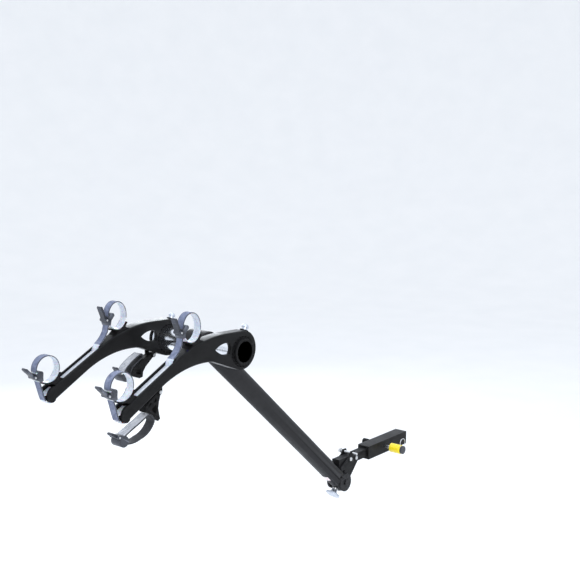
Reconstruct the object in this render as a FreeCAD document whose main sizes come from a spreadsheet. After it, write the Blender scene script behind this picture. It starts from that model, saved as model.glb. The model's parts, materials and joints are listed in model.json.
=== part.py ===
"""Hitch mounted bike rack: a two-bike hanging rack for a 1.25 in shank with a 2 in receiver adapter.

Frame, millimetres: the origin is where the hitch pin crosses the shank's centreline,
+Y points forward into the receiver, +X to the vehicle's right and +Z up.
The rack is drawn with its mast tilted back, away from the vehicle.
"""
import FreeCAD
import Part
import math
import os

V = FreeCAD.Vector
os.makedirs("parts", exist_ok=True)
doc = FreeCAD.newDocument("bike_rack")

# ---------------------------------------------------------------- driving dimensions
SIZES = [
    # hitch end
    ("shank_side", 31.75), ("shank_wall", 4.0), ("shank_rear", 289.0), ("shank_front", 150.0),
    ("adapter_side", 50.8), ("adapter_rear", 115.0), ("adapter_front", 150.0), ("socket_side", 32.1),
    ("hitch_pin_radius", 6.3), ("hitch_hole_radius", 6.75),
    # bracket and tilt pivot
    ("plate_thick", 5.0), ("plate_inner", 16.0), ("pivot_y", -269.3), ("pivot_z", -71.1),
    ("pivot_bolt_radius", 6.0), ("running_gap", 0.06), ("hub_disc_radius", 19.0),
    ("latch_radius", 5.0), ("latch_y", -214.0), ("latch_z", 24.0),
    # mast
    ("mast_angle", 42.1), ("mast_radius", 31.75), ("mast_bore_radius", 28.75), ("mast_length", 909.0),
    ("lock_hole_rise", 41.0), ("slot_half", 21.6), ("slot_top", 104.0), ("slot_back", 19.4),
    ("bushing_radius", 9.0), ("cheek_radius", 33.0), ("cheek_reach", 31.2),
    # cross tube
    ("tube_y", -979.0), ("tube_z", 554.5), ("tube_radius", 35.0), ("tube_bore_radius", 31.0),
    ("tube_half", 181.0), ("head_radius", 42.0), ("head_half", 36.0), ("sleeve_radius", 45.0),
    # arms
    ("arm_x", 154.8), ("arm_width", 40.0), ("hub_radius", 53.5), ("hub_bore_radius", 45.4),
    ("spline_depth", 12.0), ("arm_edge_round", 5.0), ("channel_width", 26.0), ("channel_depth", 9.0),
    # straps and buckles
    ("strap_width", 24.0), ("strap_thick", 2.2), ("outer_ring_radius", 38.0),
    ("outer_ring_y", -1420.0), ("outer_ring_z", 534.5), ("inner_ring_half_width", 33.5),
    ("inner_ring_half_height", 41.5), ("inner_ring_y", -1173.5), ("inner_ring_z", 651.0),
    ("cradle_width", 34.0), ("buckle_width", 29.0), ("lever_width", 19.0),
    ("sway_strap_width", 30.0), ("sway_buckle_width", 35.0), ("sway_bracket_width", 26.0),
    ("sway_strap_thick", 3.2),
]
sheet = doc.addObject("Spreadsheet::Sheet", "sizes")
SIZE = {}
for row, (alias, value) in enumerate(SIZES, start=1):
    sheet.set("A%d" % row, alias)
    sheet.set("B%d" % row, str(value))
    sheet.setAlias("B%d" % row, alias)
    SIZE[alias] = value
doc.recompute()
SUBPARTS = []


def bind(obj, **expressions):
    """Bind properties of an object to formulas over the sheet's aliases."""
    for prop, formula in expressions.items():
        words = formula
        for alias in sorted(SIZE, key=len, reverse=True):
            words = words.replace("$" + alias, "sizes." + alias)
        obj.setExpression(prop.replace("__", "."), words)
    return obj


def keep(obj, label):
    obj.Label = label
    SUBPARTS.append(obj)
    return obj


# ---------------------------------------------------------------- geometry helpers
def turn_to(direction):
    """Rotation that takes +Z to a direction."""
    return FreeCAD.Rotation(V(0, 0, 1), V(*direction))


def place(obj, base, direction=(0, 0, 1)):
    obj.Placement = FreeCAD.Placement(V(*base), turn_to(direction))
    return obj


def cylinder(name, radius, height, base, direction=(1, 0, 0)):
    """Cylinder from a base point along a direction; radius and height are formulas."""
    solid = doc.addObject("Part::Cylinder", name)
    bind(solid, Radius=radius, Height=height)
    return place(solid, base, direction)


def cone(name, radius_1, radius_2, height, base, direction):
    solid = doc.addObject("Part::Cone", name)
    bind(solid, Radius1=radius_1, Radius2=radius_2, Height=height)
    return place(solid, base, direction)


def prism(name, across, height, base, direction=(1, 0, 0)):
    """Hexagonal head or nut, given across its corners."""
    solid = doc.addObject("Part::Prism", name)
    solid.Polygon = 6
    bind(solid, Circumradius=across, Height=height)
    return place(solid, base, direction)


def box(name, length, width, height, base):
    """Box from its low corner; lengths along X, Y and Z are formulas."""
    solid = doc.addObject("Part::Box", name)
    bind(solid, Length=length, Width=width, Height=height)
    solid.Placement.Base = V(*base)
    return solid


def fuse(name, *shapes):
    joined = doc.addObject("Part::MultiFuse", name)
    joined.Shapes = list(shapes)
    return joined


def cut(name, base, *tools):
    result = doc.addObject("Part::Cut", name)
    result.Base = base
    result.Tool = tools[0] if len(tools) == 1 else fuse(name + "_tools", *tools)
    return result


def group(name, *shapes):
    """Separate solids kept side by side in one node."""
    bundle = doc.addObject("Part::Compound", name)
    bundle.Links = list(shapes)
    return bundle


def loop_edges(points):
    """Closed outline of straight sides; a ("arc", mid) entry bows the side that follows."""
    edges = []
    corners = [p for p in points if p[0] != "arc"]
    bows = {}
    seen = 0
    for entry in points:
        if entry[0] == "arc":
            bows[seen - 1] = entry[1]
        else:
            seen += 1
    for i, start in enumerate(corners):
        end = corners[(i + 1) % len(corners)]
        a, b = V(start[0], start[1], 0), V(end[0], end[1], 0)
        if i in bows:
            edges.append(Part.Arc(a, V(bows[i][0], bows[i][1], 0), b))
        else:
            edges.append(Part.LineSegment(a, b))
    return edges


def side_sketch(body, name, outlines):
    """Sketch on the body's YZ plane: its x runs along +Y and its y along +Z."""
    sketch = body.newObject("Sketcher::SketchObject", name)
    plane = [o for o in body.Origin.OriginFeatures if o.Role == "YZ_Plane"][0]
    sketch.AttachmentSupport = [(plane, "")]
    sketch.MapMode = "FlatFace"
    for outline in outlines:
        for edge in outline:
            sketch.addGeometry(edge, False)
    return sketch


def side_body(name, outlines, width, x):
    """Body padded evenly about the plane X = x from closed outlines drawn in (Y, Z)."""
    body = doc.addObject("PartDesign::Body", name)
    sketch = side_sketch(body, name + "_sketch", outlines)
    pad = body.newObject("PartDesign::Pad", name + "_pad")
    pad.Profile = sketch
    pad.SideType = "Symmetric"
    bind(pad, Length=width)
    body.Placement.Base = V(x, 0, 0)
    return body


def side_pocket(body, name, outlines, depth, offset=None):
    """Cut through the body about its mid plane, or one-sided from a sketch offset in X."""
    sketch = side_sketch(body, name + "_sketch", outlines)
    pocket = body.newObject("PartDesign::Pocket", name)
    pocket.Profile = sketch
    if offset is None:
        pocket.SideType = "Symmetric"
    else:
        sketch.AttachmentOffset = FreeCAD.Placement(V(0, 0, offset), FreeCAD.Rotation())
        pocket.Reversed = True
    bind(pocket, Length=depth)
    return pocket


def circle(y, z, radius):
    return [Part.Circle(V(y, z, 0), V(0, 0, 1), radius)]


def polar(y, z, radius, degrees):
    angle = math.radians(degrees)
    return (y + radius * math.cos(angle), z + radius * math.sin(angle))


def ellipse_point(centre, half_long, half_wide, tilt, degrees):
    angle = math.radians(degrees)
    along, across = half_long * math.cos(angle), half_wide * math.sin(angle)
    lean = math.radians(tilt)
    return (centre[0] + along * math.cos(lean) - across * math.sin(lean),
            centre[1] + along * math.sin(lean) + across * math.cos(lean))


def arc_ring(centre, half_long, half_wide, tilt, pieces=16):
    """Oval outline made of tangent-like arcs through points of an ellipse."""
    step = 360.0 / pieces
    points = []
    for i in range(pieces):
        points.append(ellipse_point(centre, half_long, half_wide, tilt, i * step))
        points.append(("arc", ellipse_point(centre, half_long, half_wide, tilt, (i + 0.5) * step)))
    return loop_edges(points)


def ribbon(points, thick):
    """Closed outline of a band of even thickness that follows a line of points."""
    left, right = [], []
    for i, point in enumerate(points):
        before = points[max(i - 1, 0)]
        after = points[min(i + 1, len(points) - 1)]
        dy, dz = after[0] - before[0], after[1] - before[1]
        size = math.hypot(dy, dz)
        ny, nz = -dz / size * thick / 2, dy / size * thick / 2
        left.append((point[0] + ny, point[1] + nz))
        right.append((point[0] - ny, point[1] - nz))
    return loop_edges(left + right[::-1])


# ---------------------------------------------------------------- hitch end
HALF = SIZE["shank_side"] / 2
PIVOT = (SIZE["pivot_y"], SIZE["pivot_z"])
HUB = (SIZE["tube_y"], SIZE["tube_z"])


def make_shank():
    outer = box("shank_outer", "$shank_side", "$shank_rear + $shank_front", "$shank_side",
                (-HALF, -SIZE["shank_rear"], -HALF))
    bore = HALF - SIZE["shank_wall"]
    inner = box("shank_inner", "$shank_side - 2 * $shank_wall", "$shank_rear + $shank_front + 2",
                "$shank_side - 2 * $shank_wall", (-bore, -SIZE["shank_rear"] - 1, -bore))
    pin_hole = cylinder("shank_pin_hole", "$hitch_hole_radius", "$shank_side + 2", (-HALF - 1, 0, 0))
    bolt_holes = [cylinder("shank_bolt_hole", "4.2", "$shank_side + 2", (-HALF - 1, y, z))
                  for y, z in BRACKET_BOLTS]
    keep(cut("shank", outer, inner, pin_hole, *bolt_holes), "shank_bar")

    cap_plate = box("cap_plate", "$shank_side", "3", "$shank_side",
                    (-HALF, -SIZE["shank_rear"] - 3, -HALF))
    plug = bore - 0.1
    cap_plug = box("cap_plug", "$shank_side - 2 * $shank_wall - 0.2", "14",
                   "$shank_side - 2 * $shank_wall - 0.2", (-plug, -SIZE["shank_rear"] - 1, -plug))
    keep(fuse("cap", cap_plate, cap_plug), "shank_end_cap")


def make_adapter():
    half = SIZE["adapter_side"] / 2
    socket = SIZE["socket_side"] / 2
    outer = box("adapter_outer", "$adapter_side", "$adapter_rear + $adapter_front", "$adapter_side",
                (-half, -SIZE["adapter_rear"], -half))
    inner = box("adapter_inner", "$socket_side", "$adapter_rear + $adapter_front + 2", "$socket_side",
                (-socket, -SIZE["adapter_rear"] - 1, -socket))
    hole = cylinder("adapter_hole", "$hitch_hole_radius", "$adapter_side + 2", (-half - 1, 0, 0))
    keep(cut("adapter", outer, inner, hole), "receiver_adapter")


BRACKET_BOLTS = [(-229.0, 6.0), (-194.0, 2.0)]


def plate_outline():
    """Side plate: flat along the shank, widening down to a nose round the tilt pivot."""
    nose = 39.0
    back = SIZE["hub_disc_radius"] - 0.4
    lean = math.radians(SIZE["mast_angle"])
    rear_low = (PIVOT[0] - back * math.sin(lean) + 34 * math.cos(lean),
                PIVOT[1] - back * math.cos(lean) - 34 * math.sin(lean))
    return loop_edges([
        (-225, 33), (-203, 33), (-198, 18), (-184, 12), (-180, -12),
        polar(PIVOT[0], PIVOT[1], nose, 8), ("arc", polar(PIVOT[0], PIVOT[1], nose, -32)),
        rear_low, polar(PIVOT[0], PIVOT[1], back, 270 - SIZE["mast_angle"]),
        ("arc", polar(PIVOT[0], PIVOT[1], back, 200)),
        (PIVOT[0] - back, PIVOT[1]), (PIVOT[0] - back, -12), (-240, 14), (-231, 20)])


def make_bracket():
    middle = SIZE["plate_inner"] + SIZE["plate_thick"] / 2
    for side, x in (("left", -middle), ("right", middle)):
        plate = side_body("plate_" + side, [plate_outline()], "$plate_thick", x)
        holes = [circle(PIVOT[0], PIVOT[1], SIZE["pivot_bolt_radius"] + 0.05),
                 circle(SIZE["latch_y"], SIZE["latch_z"], SIZE["latch_radius"] + SIZE["running_gap"]),
                 circle(PIVOT[0], PIVOT[1] + SIZE["lock_hole_rise"], SIZE["latch_radius"] + 0.3)]
        holes += [circle(y, z, 4.2) for y, z in BRACKET_BOLTS]
        side_pocket(plate, "plate_holes_" + side, holes, "$plate_thick + 2")
        keep(plate, "bracket_plate_" + side)

    outside = SIZE["plate_inner"] + SIZE["plate_thick"]
    bolts, nuts = [], []
    for y, z in BRACKET_BOLTS:
        shaft = cylinder("bracket_shaft", "4.0", "2 * ($plate_inner + $plate_thick) + 8",
                         (-outside - 8, y, z))
        head = cylinder("bracket_head", "7.0", "4.5", (outside, y, z))
        bolts.append(fuse("bracket_bolt", shaft, head))
        nut = prism("bracket_nut", "7.5", "6.5", (-outside - 6.5, y, z))
        hole = cylinder("bracket_nut_hole", "4.05", "8", (-outside - 7, y, z))
        nuts.append(cut("nut", nut, hole))
    keep(group("bolts", *bolts), "bracket_bolts")
    keep(group("nuts", *nuts), "bracket_nuts")

    disc = cylinder("disc_round", "$hub_disc_radius", "2 * $plate_inner - 0.4",
                    (-SIZE["plate_inner"] + 0.2, PIVOT[0], PIVOT[1]))
    disc_hole = cylinder("disc_hole", "$pivot_bolt_radius + 0.05", "2 * $plate_inner + 2",
                         (-SIZE["plate_inner"] - 1, PIVOT[0], PIVOT[1]))
    keep(cut("disc", disc, disc_hole), "tilt_brake_disc")

    reach = SIZE["mast_radius"] + 0.9
    bolt = cylinder("pivot_shaft", "$pivot_bolt_radius", "2 * $mast_radius + 12",
                    (-reach - 10, PIVOT[0], PIVOT[1]))
    head = prism("pivot_head", "10.9", "4", (reach, PIVOT[0], PIVOT[1]))
    keep(fuse("pivot", bolt, head), "pivot_bolt")
    nut = prism("pivot_nut_hex", "10.9", "8", (-reach - 8, PIVOT[0], PIVOT[1]))
    nut_hole = cylinder("pivot_nut_hole", "$pivot_bolt_radius + 0.05", "10", (-reach - 9, PIVOT[0], PIVOT[1]))
    keep(cut("pivot_nut_cut", nut, nut_hole), "pivot_nut")

    bushings = []
    for x in (outside, -outside - 11.0):
        ring = cylinder("bushing_ring", "$bushing_radius", "11", (x, PIVOT[0], PIVOT[1]))
        hole = cylinder("bushing_hole", "$pivot_bolt_radius + 0.05", "13", (x - 1, PIVOT[0], PIVOT[1]))
        bushings.append(cut("bushing", ring, hole))
    keep(group("bushings", *bushings), "pivot_bushings")


def make_hitch_pin():
    rod = cylinder("pin_rod", "$hitch_pin_radius", "118", (-66, 0, 0))
    collar = cylinder("pin_collar", "10.5", "5", (47, 0, 0))
    keep(fuse("pin", rod, collar), "hitch_pin")
    sleeve = cylinder("sleeve_round", "17.5", "46", (52, 0, 0))
    doc.recompute()
    rounded = doc.addObject("Part::Fillet", "sleeve_soft")
    rounded.Base = sleeve
    rounded.Edges = [(1, 3.0, 3.0), (3, 3.0, 3.0)]
    keep(rounded, "lock_sleeve")
    keep(cylinder("cap_round", "15.5", "9", (98, 0, 0)), "lock_end_cap")
    keeper = cylinder("keeper_round", "12.0", "20", (-78, 0, 0))
    keeper_hole = cylinder("keeper_hole", "$hitch_pin_radius + 0.05", "13", (-66.1, 0, 0))
    keep(cut("keeper", keeper, keeper_hole), "pin_keeper")
    # open wire bail whose two ends stand on the end cap's rim
    wire = doc.addObject("Part::Torus", "clip_wire")
    wire.Radius1 = 17.0
    wire.Radius2 = 1.3
    wire.Angle3 = 288.0
    wire.Placement = FreeCAD.Placement(
        V(102.5, 0, 27.2), FreeCAD.Rotation(V(0, 1, 0), V(0, 0, 1), V(1, 0, 0), "ZXY"))
    wire.Placement = wire.Placement.multiply(
        FreeCAD.Placement(V(0, 0, 0), FreeCAD.Rotation(V(0, 0, 1), -54)))
    keep(wire, "pin_clip")


# ---------------------------------------------------------------- mast
LEAN = math.radians(SIZE["mast_angle"])
UP_MAST = (0, -math.cos(LEAN), math.sin(LEAN))
OUT_BACK = (0, -math.sin(LEAN), -math.cos(LEAN))


def along(distance, outward=0.0, x=0.0):
    """Point at a distance up the mast from the tilt pivot, and outward on its rear side."""
    return (x, PIVOT[0] + UP_MAST[1] * distance + OUT_BACK[1] * outward,
            PIVOT[1] + UP_MAST[2] * distance + OUT_BACK[2] * outward)


# turn that lays a box's width up the mast and its height towards the rear
MAST_TURN = FreeCAD.Rotation(V(1, 0, 0), V(*UP_MAST), V(*OUT_BACK), "XYZ")


def make_mast():
    start = along(-36)
    outer = cylinder("mast_outer", "$mast_radius", "$mast_length + 36", start, UP_MAST)
    inner = cylinder("mast_inner", "$mast_bore_radius", "$mast_length + 40", along(-38), UP_MAST)
    foot_ball = doc.addObject("Part::Sphere", "mast_foot_ball")
    foot_ball.Radius = 37.0
    foot_ball.Placement.Base = V(*along(0))
    body_above = cylinder("mast_above", "$mast_radius + 2", "$mast_length + 10", along(0), UP_MAST)
    rounded = doc.addObject("Part::Common", "mast_rounded")
    rounded.Base = outer
    rounded.Tool = fuse("mast_limits", foot_ball, body_above)
    cheeks = [cylinder("mast_cheek", "$cheek_radius", "$cheek_reach - $slot_half", (low, PIVOT[0], PIVOT[1]))
              for low in (-SIZE["cheek_reach"], SIZE["slot_half"])]
    slot = box("mast_slot", "2 * $slot_half", "$slot_top + 60", "$mast_radius + 20 + $slot_back", (0, 0, 0))
    # the box's width runs up the mast and its height from ahead of the tube back to its rear wall
    slot.Placement = FreeCAD.Placement(
        V(-SIZE["slot_half"], *along(-60, -SIZE["mast_radius"] - 20)[1:]), MAST_TURN)
    shell = cut("mast_shell", rounded, inner)
    pivot_hole = cylinder("mast_pivot_hole", "$bushing_radius + $running_gap", "80",
                          (-40, PIVOT[0], PIVOT[1]))
    lock_holes = cylinder("mast_lock_holes", "$latch_radius + 0.3", "80",
                          along(SIZE["lock_hole_rise"], 0, -40))
    knob_hole = cylinder("mast_knob_hole", "11.05", "30", along(2, 20), OUT_BACK)
    tube_hole = cylinder("mast_tube_hole", "$head_radius", "100",
                         (-50, SIZE["tube_y"], SIZE["tube_z"]))
    solid_foot = fuse("mast_with_cheeks", shell, *cheeks)
    keep(cut("mast", solid_foot, slot, pivot_hole, lock_holes, knob_hole, tube_hole), "mast_tube")

    barrel = cylinder("head_barrel", "$head_radius", "2 * $head_half",
                      (-SIZE["head_half"], SIZE["tube_y"], SIZE["tube_z"]))
    bore = cylinder("head_bore", "$tube_radius + 0.02", "2 * $head_half + 2",
                    (-SIZE["head_half"] - 1, SIZE["tube_y"], SIZE["tube_z"]))
    keep(cut("head", barrel, bore), "mast_head")

    tube = cylinder("cross_outer", "$tube_radius", "2 * $tube_half", (-SIZE["tube_half"], *HUB))
    tube_bore = cylinder("cross_bore", "$tube_bore_radius", "2 * $tube_half + 2",
                         (-SIZE["tube_half"] - 1, SIZE["tube_y"], SIZE["tube_z"]))
    keep(cut("cross", tube, tube_bore), "cross_tube")

    sleeves, rings = [], []
    for sign in (-1, 1):
        low = sign * SIZE["arm_x"] + SIZE["arm_width"] / 2 - SIZE["spline_depth"]
        ring = cylinder("sleeve_ring", "$sleeve_radius", "$spline_depth", (low, *HUB))
        hole = cylinder("sleeve_hole", "$tube_radius + 0.02", "$arm_width", (low - 1, *HUB))
        notches = []
        for i in range(24):
            y, z = polar(SIZE["tube_y"], SIZE["tube_z"], SIZE["sleeve_radius"] - 0.3, i * 15)
            notches.append(cylinder("sleeve_notch", "3.2", "$arm_width", (low - 1, y, z)))
        sleeves.append(cut("sleeve", ring, hole, *notches))
        edge = sign * (SIZE["arm_x"] + SIZE["arm_width"] / 2 + 0.6)
        low = min(edge, edge + sign * 8)
        collar = cylinder("ring_collar", "38.5", "8", (low, *HUB))
        mouth = cylinder("ring_mouth", "$tube_bore_radius", "10", (low - 1, *HUB))
        seat = cylinder("ring_seat", "$tube_radius + 0.02", "2 * $tube_half + 0.1",
                        (-SIZE["tube_half"] - 0.05, SIZE["tube_y"], SIZE["tube_z"]))
        rings.append(cut("ring", collar, mouth, seat))
    keep(group("sleeves", *sleeves), "spline_sleeves")
    keep(group("rings", *rings), "retaining_rings")

    boss = cylinder("boss_round", "11.0", "11", along(2, 26.5), OUT_BACK)
    boss_hole = cylinder("boss_hole", "6.06", "30", along(2, 22), OUT_BACK)
    keep(cut("boss", boss, boss_hole), "knob_boss")

    # thin sticker that wraps the rear of the tube
    patch_out = cylinder("patch_out", "$mast_radius + 0.5", "27", along(66), UP_MAST)
    patch_in = cylinder("patch_in", "$mast_radius + 0.02", "30", along(64), UP_MAST)
    shell = cut("patch_shell", patch_out, patch_in)
    window = box("patch_window", "26", "60", "60", (0, 0, 0))
    window.Placement = FreeCAD.Placement(V(-13, *along(60, 10)[1:]), MAST_TURN)
    patch = doc.addObject("Part::Common", "patch")
    patch.Base = shell
    patch.Tool = window
    keep(patch, "blank_label")


def make_tilt_knob():
    screw = cylinder("screw_rod", "6.0", "32", along(2, 19.8), OUT_BACK)
    keep(screw, "brake_screw")
    stem = cone("knob_stem", "9.5", "14.0", "13", along(2, 38.2), OUT_BACK)
    disc = cone("knob_disc", "26.0", "23.0", "6", along(2, 53.0), OUT_BACK)
    flare = cone("knob_flare", "13.5", "26.0", "6", along(2, 47.5), OUT_BACK)
    hole = cylinder("knob_hole", "6.0", "20", along(2, 32), OUT_BACK)
    keep(cut("knob", fuse("knob_solid", stem, flare, disc), hole), "tilt_knob")


def make_latch_pin():
    rod = cylinder("latch_rod", "$latch_radius", "72", (-32, SIZE["latch_y"], SIZE["latch_z"]))
    head = cylinder("latch_head", "8.0", "9", (-40, SIZE["latch_y"], SIZE["latch_z"]))
    keep(fuse("latch", rod, head), "latch_pin")


# ---------------------------------------------------------------- arms
# the arc that the arm's top follows from the hub to the strap channel
TOP_CENTRE = (-1050.0, 207.0)
TOP_RADIUS = 410.0
TOP_END_DEGREES = 117.5
TIP_TOP = (-1404.0, 485.5)


def on_top(degrees):
    """Point on the arm's top arc."""
    return polar(TOP_CENTRE[0], TOP_CENTRE[1], TOP_RADIUS, degrees)


def arm_outline():
    """Arched beam: top arc and straight fall to the tip, hollowed under side, round hub."""
    hub = SIZE["hub_radius"]
    under_centre = (-1140.0, 227.0)
    under_radius = 320.0
    under_end = polar(under_centre[0], under_centre[1], under_radius, 120.0)
    under_start = polar(under_centre[0], under_centre[1], under_radius, 82.5)
    return loop_edges([
        on_top(90.0), ("arc", on_top(104.0)), TOP_END, TIP_TOP,
        ("arc", (-1428.5, 467.0)), (-1427.0, 449.0), ("arc", (-1419.0, 441.0)), (-1404.0, 446.2),
        under_end, ("arc", polar(under_centre[0], under_centre[1], under_radius, 101.0)),
        under_start, polar(HUB[0], HUB[1], hub, 250.0),
        ("arc", polar(HUB[0], HUB[1], hub, 340.0)),
        polar(HUB[0], HUB[1], hub + 7, 62.0), (-968.0, 614.6)])


TOP_END = on_top(TOP_END_DEGREES)
FALL = math.atan2(TOP_END[1] - TIP_TOP[1], TOP_END[0] - TIP_TOP[0])
DOWN_ARM = (-math.cos(FALL), -math.sin(FALL))
OFF_ARM = (-math.sin(FALL), math.cos(FALL))


def on_arm(distance, height):
    """Point a distance down the arm's straight top and a height above it."""
    return (TOP_END[0] + DOWN_ARM[0] * distance + OFF_ARM[0] * height,
            TOP_END[1] + DOWN_ARM[1] * distance + OFF_ARM[1] * height)


def channel_outline():
    """Strap channel sunk along the arm's straight top, open at the tip."""
    depth = -SIZE["channel_depth"]
    return loop_edges([on_arm(3, 12), on_arm(3, depth), on_arm(230, depth), on_arm(230, 12)])


# where each anti-sway cradle hangs from its arm
SWAY_PIVOT = {"right": (-1297.0, 497.0), "left": (-1040.0, 512.0)}


def arm_window():
    """Pointed oval opening through the web beside the hub."""
    return loop_edges([(-1092.0, 577.0), ("arc", (-1062.0, 559.0)), (-1035.0, 556.0),
                       ("arc", (-1029.5, 573.0)), (-1037.0, 589.0), ("arc", (-1064.0, 589.0))])


def arm_recess():
    """Core-out behind the window, open to the hub bore so the cross tube shows."""
    return loop_edges([(-1104.0, 580.0), (-1100.0, 561.0), (-1004.0, 534.0), (-1004.0, 594.0),
                       (-1070.0, 600.0)])


def make_arm(side, x):
    arm = side_body("arm_" + side, [arm_outline()], "$arm_width", x)
    hub_bore = circle(HUB[0], HUB[1], SIZE["tube_radius"] + SIZE["running_gap"])
    side_pocket(arm, "arm_hub_bore_" + side, [hub_bore], "$arm_width + 2")
    side_pocket(arm, "arm_spline_bore_" + side, [circle(HUB[0], HUB[1], SIZE["hub_bore_radius"])],
                "$spline_depth + 1.3", SIZE["arm_width"] / 2 - SIZE["spline_depth"] - 0.3)
    side_pocket(arm, "arm_recess_" + side, [arm_recess()], "$arm_width - $spline_depth + 1",
                -SIZE["arm_width"] / 2 - 1)
    side_pocket(arm, "arm_window_" + side, [arm_window()], "$arm_width + 2")
    channel = side_pocket(arm, "arm_channel_" + side, [channel_outline()], "$channel_width")
    doc.recompute()
    # soften the long rims of the beam, both sides
    rims = []
    for i, edge in enumerate(channel.Shape.Edges, start=1):
        bounds = edge.BoundBox
        on_face = abs(abs(edge.CenterOfMass.x) - SIZE["arm_width"] / 2) < 0.01 and bounds.XLength < 0.01
        if on_face and bounds.YMin < -1190 and bounds.YMax > -1390:
            rims.append("Edge%d" % i)
    soft = arm.newObject("PartDesign::Fillet", "arm_soft_" + side)
    soft.Base = (channel, rims)
    bind(soft, Radius="$arm_edge_round")
    arm.Tip = soft
    lug_x = SIZE["sway_bracket_width"] / 2 + 0.5
    centre = SWAY_PIVOT[side]
    lugs = []
    for sign in (-1, 1):
        low = min(x + sign * lug_x, x + sign * (lug_x + 4))
        eye = cylinder("lug_eye", "7.0", "4", (low, centre[0], centre[1]))
        neck = box("lug_neck", "4", "14", "16", (low, centre[0] - 7, centre[1]))
        lugs += [eye, neck]
    bore = cylinder("lug_bore", "3.0", "$arm_width", (x - SIZE["arm_width"] / 2, centre[0], centre[1]))
    arm = cut("arm_drilled_" + side, fuse("arm_whole_" + side, arm, *lugs), bore)
    keep(arm, "arm_beam_" + side)

    tilt = (0, math.sin(math.radians(26)), math.cos(math.radians(26)))

    def radial(distance):
        return (x, HUB[0] + tilt[1] * distance, HUB[1] + tilt[2] * distance)

    washer = cylinder("washer_round", "13.0", "3", radial(60.6), tilt)
    washer_hole = cylinder("washer_hole", "4.4", "5", radial(59), tilt)
    keep(cut("washer", washer, washer_hole), "clamp_washer_" + side)
    neck = cylinder("knob_neck", "8.5", "8", radial(64.0), tilt)
    dome = doc.addObject("Part::Sphere", "knob_dome")
    dome.Radius = 11.0
    dome.Placement.Base = V(*radial(71.0))
    dome_half = cylinder("knob_half", "12", "20", radial(71.0), tilt)
    top = doc.addObject("Part::Common", "knob_top")
    top.Base = dome
    top.Tool = dome_half
    keep(fuse("knob_whole", neck, top), "clamp_knob_" + side)


# ---------------------------------------------------------------- cradles and straps
def inset(edges, thick):
    """Outline moved inwards by a thickness."""
    wire = Part.Wire([edge.toShape() for edge in edges])
    moved = wire.makeOffset2D(-thick)
    outline = []
    for edge in moved.Edges:
        low, high = edge.ParameterRange
        start, middle, end = [edge.valueAt(low + (high - low) * f) for f in (0, 0.5, 1)]
        if isinstance(edge.Curve, Part.Line):
            outline.append(Part.LineSegment(start, end))
        else:
            outline.append(Part.Arc(start, middle, end))
    return outline


def make_cradle(name, label, centre, half_width, half_height, lean, feet, x):
    """Saddle that hugs the lower side of a ring and stands on the arm."""
    gap, thick = 0.35, 5.0
    inner, outer = [], []
    for degrees in (-40, -20, 0, 20, 40):
        angle = -90 + lean + degrees
        inner.append(ellipse_point(centre, half_width + gap, half_height + gap, 0, angle))
        outer.append(ellipse_point(centre, half_width + gap + thick, half_height + gap + thick, 0, angle))
    outline = loop_edges([inner[0], ("arc", inner[1]), inner[2], ("arc", inner[3]), inner[4],
                          outer[4], outer[3]] + feet + [outer[1], outer[0]])
    keep(side_body(name, [outline], "$cradle_width", x), label)


def ring_outlines(centre, half_width, half_height, thick):
    outer = arc_ring(centre, half_width, half_height, 0)
    return [outer, inset(outer, thick)]


def make_lever(name, label, foot, tip, x, width):
    """Ratchet lever: round eye at the buckle, flat handle to the tip."""
    dy, dz = tip[0] - foot[0], tip[1] - foot[1]
    size = math.hypot(dy, dz)
    ny, nz = -dz / size, dy / size
    eye, grip, neck = 4.6, 3.2, 0.3
    angle = math.degrees(math.atan2(dz, dy))
    outline = loop_edges([
        (foot[0] + ny * eye, foot[1] + nz * eye), ("arc", polar(foot[0], foot[1], eye, angle + 180)),
        (foot[0] - ny * eye, foot[1] - nz * eye),
        (foot[0] + dy * neck - ny * grip, foot[1] + dz * neck - nz * grip),
        (tip[0] - ny * grip, tip[1] - nz * grip),
        ("arc", (tip[0] + dy / size * grip, tip[1] + dz / size * grip)),
        (tip[0] + ny * grip, tip[1] + nz * grip),
        (foot[0] + dy * neck + ny * grip, foot[1] + dz * neck + nz * grip)])
    lever = side_body(name, [outline], width, x)
    side_pocket(lever, name + "_hole", [circle(foot[0], foot[1], 2.0 + SIZE["running_gap"])], width + " + 2")
    keep(lever, label)


def make_buckle(name, label, outline, foot, x, strap, width="buckle_width"):
    """Buckle: a block the band runs through, with two ears and an axle for its lever."""
    half = SIZE[width] / 2
    block = side_body(name + "_block", [outline], "$" + width, x)
    clear = cylinder(name + "_clear", "5.3", "$lever_width + 0.6",
                     (x - SIZE["lever_width"] / 2 - 0.3, foot[0], foot[1]))
    ears = []
    for sign in (-1, 1):
        inside = SIZE["lever_width"] / 2 + 0.3
        low = min(x + sign * inside, x + sign * half)
        ears.append(cylinder(name + "_ear", "5.0", "($%s - $lever_width - 0.6) / 2" % width,
                             (low, foot[0], foot[1])))
    axle = cylinder(name + "_axle", "2.0", "$" + width, (x - half, foot[0], foot[1]))
    body = cut(name + "_cleared", fuse(name + "_eared", block, *ears), clear)
    keep(cut(name, fuse(name + "_solid", body, axle), strap), label)


OUTER_RING = (SIZE["outer_ring_y"], SIZE["outer_ring_z"])
INNER_RING = (SIZE["inner_ring_y"], SIZE["inner_ring_z"])
RUN_HEIGHT = -SIZE["channel_depth"] + SIZE["strap_thick"] / 2 + 0.1


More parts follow.
